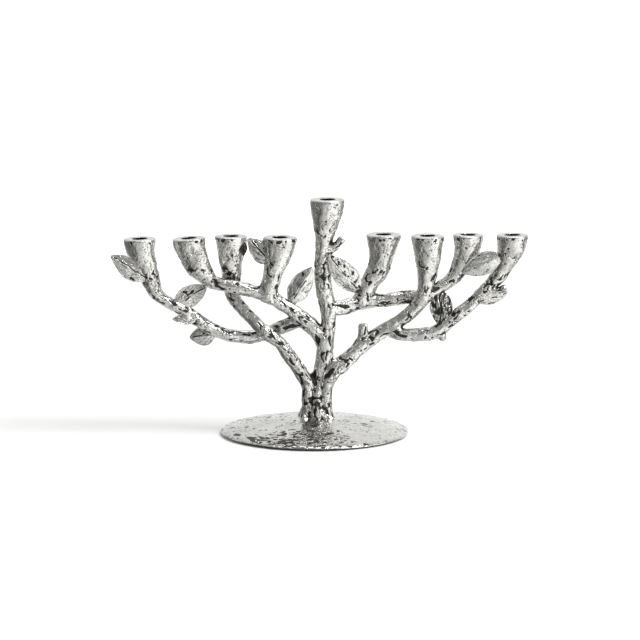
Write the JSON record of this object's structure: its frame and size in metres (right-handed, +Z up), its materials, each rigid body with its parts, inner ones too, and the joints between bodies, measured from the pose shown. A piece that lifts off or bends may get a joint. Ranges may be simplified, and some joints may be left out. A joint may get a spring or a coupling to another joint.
{
  "type": "menorah",
  "caption": "Branched candelabrum: candle cups in a level row and a taller middle cup, on leafy cast-metal branches that rise from a round base plate.",
  "frame": {"origin": "middle of the felt's lower face, on the surface the object stands on and on the base plate's axis", "axes": "+X along the row of candles, to the right seen from the front; +Y from the front to the back; +Z up"},
  "size_m": [0.3555, 0.16, 0.2015],
  "materials": {
    "cast_nickel": "polished",
    "screw_steel": "satin",
    "felt": "matte"
  },
  "bodies": {
    "root": {"base_plate": "cast_nickel", "felt_disc": "felt", "base_screw": "screw_steel", "screw_washer": "screw_steel", "trunk": "cast_nickel", "left_low_branch": "cast_nickel", "left_high_branch": "cast_nickel", "left_outer_branch": "cast_nickel", "right_low_branch": "cast_nickel", "right_high_branch": "cast_nickel", "right_outer_branch": "cast_nickel", "right_inner_branch": "cast_nickel", "candle_cup_1": "cast_nickel", "candle_cup_2": "cast_nickel", "candle_cup_3": "cast_nickel", "candle_cup_4": "cast_nickel", "candle_cup_5": "cast_nickel", "candle_cup_6": "cast_nickel", "candle_cup_7": "cast_nickel", "candle_cup_8": "cast_nickel", "shamash_cup": "cast_nickel", "leaf_cup_1": "cast_nickel", "leaf_left_arch": "cast_nickel", "leaf_left_bud": "cast_nickel", "leaf_left_low": "cast_nickel", "leaf_cup_3": "cast_nickel", "leaf_cup_4": "cast_nickel", "leaf_left_trunk": "cast_nickel", "leaf_right_trunk": "cast_nickel", "leaf_cup_7": "cast_nickel", "leaf_right_outer": "cast_nickel", "leaf_right_hanging": "cast_nickel"}
  },
  "joints": []
}
